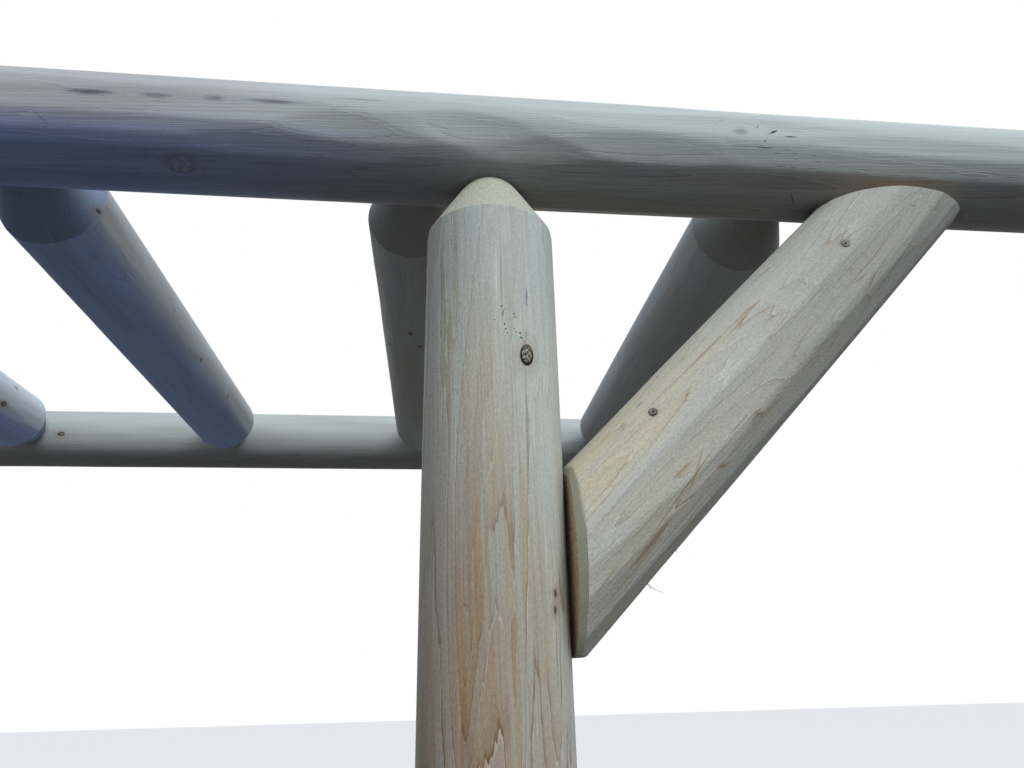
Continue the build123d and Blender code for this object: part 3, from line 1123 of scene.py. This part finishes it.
for side in sides:
    for hand in hands:
        name = f"{side}_{hand}_brace"
        low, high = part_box(name)
        outwards = -1 if hand == "left" else 1
        radius = (high.y - low.y) / 2 / mm
        drop = (high.z - low.z) / mm + braceShape["tipCut"] - radius * math.sqrt(2)
        start = np.array([low.x if outwards > 0 else high.x, (low.y + high.y) / 2, high.z]) / mm
        start[2] -= drop
        along = (outwards * math.sqrt(0.5), 0, math.sqrt(0.5))
        length = drop * math.sqrt(2)
        log = Brace(name, braceWood, "brace_cedar", start, along, (0, -outwards, 0), length, radius)
        log.sideS = [-braceShape["pastCuts"], log.length + braceShape["pastCuts"]]
        shown = name == "front_right_brace"
        log.columns = 176 if shown else 96
        log.step = 3 if shown else 4.5
        log.marks = list(shownBraceMarks) if shown else strayMarks(log, 80, 400, 1)
        turned = (side == "front") != (outwards > 0)
        log.screwAngles = [(at, 180 - angle if turned else angle) for at, angle in screws["places"]]
        for at, angle in log.screwAngles:
            log.marks.append(spot("stain", at, angle, 6.4, 6.8, dark=0.5, colour=(104, 100, 92)))


# Joints: which logs meet, so that each gets painted shadow and grime along the other

def meet(first, second):
    logs[first].neighbours.append(logs[second])
    logs[second].neighbours.append(logs[first])


for side in sides:
    for hand in hands:
        meet(f"{side}_{hand}_post", f"{side}_beam")
        meet(f"{side}_{hand}_brace", f"{side}_beam")
        meet(f"{side}_{hand}_brace", f"{side}_{hand}_post")
    for i in range(1, rafterCount + 1):
        meet(f"rafter_{i}", f"{side}_beam")

for log in logs.values():
    log.shave(log.look["flatsAround"], log.look["flatLength"], log.look["flatDepth"])
logs["front_beam"].placeCuts(fromPost(0), beamClearings, shownBeamCuts)
logs["front_beam"].bulges = [shownBeamBulge]
logs["front_right_brace"].placeCuts(0, braceClearings, shownBraceCuts)

triangles = 0
for log in logs.values():
    piece = addLog(log, *(braceGrid(log) if isinstance(log, Brace) else roundGrid(log)))
    triangles += sum(len(face.vertices) - 2 for face in piece.data.polygons)
print("logs made,", triangles, "triangles")


# Screws

def screwMaterial():
    material, paint = newMaterial("screw_metal")
    dirt = paint.noise(paint.coordinates(), 0.0012, 0.0012, 3.0, 0.6)
    screwShade = paint.attribute("screwShade", 2)
    colour = paint.mix(dirt.fade(0.35, 0.65), tone(72, 70, 66), tone(126, 122, 114))
    # painted shadow: the rim of the head and the floor of the drive are darkened where the countersink and
    # the recess would shade them
    colour = paint.mix(screwShade, colour, tone(14, 12, 11))
    surface = {"Base Color": colour, "Metallic": (1 - screwShade) * 0.4, "Roughness": 0.5 + dirt * 0.2 + screwShade * 0.3}
    paint.finish(paint.principled({**surface, "Normal": paint.bump(0.4, dirt * 0.3)}))
    return material


screwMetal = screwMaterial()


def addScrew(log, at, angle, name):
    # a countersunk head, in rings from its hidden back to the floor of its square drive
    columns, head = screws["columns"], screws["head"]
    turn = np.linspace(0, 2 * np.pi, columns, endpoint=False)
    square = screws["recess"] / np.maximum(np.abs(np.cos(turn)), np.abs(np.sin(turn)))
    rim = np.full(columns, head)
    rings = [    # height, radius, how much painted shadow it carries
        (-3.2, rim * 0.45, 0.85), (-0.7, rim * 0.96, 0.85), (-0.3, rim, 0.85), (0.02, rim * 0.96, 0.85),
        (0.1, rim * 0.78, 0.2), (0.06, square * 1.12, 0), (-0.1, square, 0.9),
        (-screws["recessDepth"], square * 0.86, 1),
    ]
    surface, out = log.surfaceAt(at, angle)
    across = np.cross(out, log.along)
    centre = log.start + at * log.along + (surface + screws["raised"]) * out
    places = []
    for height, wide, _ in rings:
        for a, r in zip(turn, wide):
            places.append((centre + height * out + r * (math.cos(a) * log.along - math.sin(a) * across)) * mm)
    faces = tubeFaces(len(rings), columns, (0, len(rings) - 1))
    piece = addPiece(name, places, faces, screwMetal, screws["sharpFrom"])
    store(piece.data, "screwShade", np.repeat([ring[2] for ring in rings], columns))


for log in logs.values():
    if isinstance(log, Brace):
        for i, (at, angle) in enumerate(log.screwAngles):
            addScrew(log, at, angle, f"{log.name}_screw_{i + 1}")
print("screws made")


# Torn fibres

torn = {
    "log": "front_right_brace", "wide": 0.34, "rings": 7, "columns": 6, "thinned": 0.75,
    # along, angle, length, how far it curls
    "places": [(30, 78, 14, 0.5), (31, 80, 6, -0.9), (64, 74, 5, -0.4)],
}


def fibreMaterial():
    material, paint = newMaterial("torn_fibre")
    grain = paint.noise(paint.coordinates(), 0.0006, 0.002, 2.0)
    colour = paint.mix(grain.fade(0.35, 0.65), tone(176, 160, 140), tone(138, 118, 96))
    paint.finish(paint.principled({"Base Color": colour, "Roughness": 0.85, "Specular IOR Level": 0.06}))
    return material


fibreWood = fibreMaterial()


def addFibre(log, at, angle, length, curl, name):
    # a thin round hair that tapers and bends away from where it was torn
    surface, out = log.surfaceAt(at, angle)
    across = np.cross(out, log.along)
    turn = np.linspace(0, 2 * np.pi, torn["columns"], endpoint=False)
    centre = log.start + at * log.along + (surface - 1) * out
    places = []
    for share in np.linspace(0, 1, torn["rings"]):
        ahead = math.cos(curl * share) * out + math.sin(curl * share) * log.along
        wide = torn["wide"] * (1 - torn["thinned"] * share)
        sideways = np.cross(ahead, across)
        for a in turn:
            places.append((centre + wide * (math.cos(a) * across + math.sin(a) * sideways)) * mm)
        centre = centre + ahead * length / (torn["rings"] - 1)
    faces = tubeFaces(torn["rings"], torn["columns"], (0, torn["rings"] - 1))
    addPiece(name, places, faces, fibreWood)


for i, place in enumerate(torn["places"]):
    addFibre(logs[torn["log"]], *place, f"{torn['log']}_fibre_{i + 1}")
print("torn fibres made")


# Light and floor

studio = {
    "lampDistance": 9,
    "key": {"strength": 0.66, "size": 4.2, "height": 44, "turn": 35, "colour": (0.98, 1, 0.985)},
    "fill": {"strength": 0.5, "size": 8, "height": 20, "turn": 180, "colour": (1, 0.97, 0.92)},
    "ground": tone(90, 90, 90), "skyBack": tone(172, 182, 196), "skyFront": tone(222, 232, 244),
    "horizon": (-0.06, 0.06),
    "floorReach": 40, "floorSeen": (0.9, 0.88, 0.85), "floorGlow": 0.55, "floorBounce": (0.13, 0.125, 0.118),
}


def addLamp(name, strength, size, height, turn, colour):
    # strength 1 lights a facing white surface to white
    distance = studio["lampDistance"]
    lamp = bpy.data.lights.new(name, "AREA")
    lamp.shape = "DISK"
    lamp.size = size
    lamp.color = colour
    lamp.energy = strength * math.pi ** 2 * distance ** 2
    low, high = cadBounds
    middle = (Vector(low) + Vector(high)) / 2
    up, sideways = math.radians(height), math.radians(turn)
    away = Vector((math.sin(sideways) * math.cos(up), -math.cos(sideways) * math.cos(up), math.sin(up)))
    holder = addObject(name, lamp)
    holder.location = middle + away * distance
    holder.rotation_euler = away.to_track_quat("Z", "Y").to_euler()
    holder.visible_camera = False


def seenRays(paint):
    # 1 where the eye, a gloss or a glass looks, 0 where light only bounces
    kinds = ("Is Camera Ray", "Is Glossy Ray", "Is Transmission Ray")
    rays = [paint.node("ShaderNodeLightPath", {}, {}, kind) for kind in kinds]
    return rays[0].atLeast(rays[1]).atLeast(rays[2])


def lightWorld():
    world = bpy.data.worlds.new("studioWorld")
    bpy.context.scene.world = world
    paint = Paint(world)
    x, y, z = paint.parts(paint.coordinates("Generated"))
    sky = paint.mix(y.fade(0.8, -0.8), studio["skyBack"], studio["skyFront"])
    sky = paint.mix(z.fade(*studio["horizon"]), studio["ground"], sky)
    colour = paint.mix(seenRays(paint), sky, (1, 1, 1, 1))
    paint.finish(paint.node("ShaderNodeBackground", {}, {"Color": colour, "Strength": 1.0}), "World")


def floorMaterial():
    material, paint = newMaterial("studioFloor")
    grain = paint.noise(paint.coordinates(), 0.4, 0.4, 2.0)
    seen = seenRays(paint)
    bounce = paint.mix(1.0, paint.grey(grain * 0.06 + 0.97), (*studio["floorBounce"], 1), "MULTIPLY")
    colour = paint.mix(seen, bounce, (*studio["floorSeen"], 1))
    lit = paint.principled({"Base Color": colour, "Roughness": 1.0, "Specular IOR Level": 0.0})
    white = paint.node("ShaderNodeEmission", {}, {"Color": (1, 1, 1, 1), "Strength": 1.0})
    paint.finish(paint.node("ShaderNodeMixShader", {}, {0: seen * studio["floorGlow"], 1: lit, 2: white}))
    return material


def layFloor():
    reach = studio["floorReach"]
    corners = [(-reach, -reach, 0), (reach, -reach, 0), (reach, reach, 0), (-reach, reach, 0)]
    mesh = bpy.data.meshes.new("studioFloor")
    mesh.from_pydata(corners, [], [(0, 1, 2, 3)])
    mesh.materials.append(floorMaterial())
    addObject("studioFloor", mesh)


for lamp in ("key", "fill"):
    addLamp(f"{lamp}Lamp", **studio[lamp])
lightWorld()
layFloor()
bpy.context.scene.view_settings.view_transform = "Standard"
print("light and floor set")
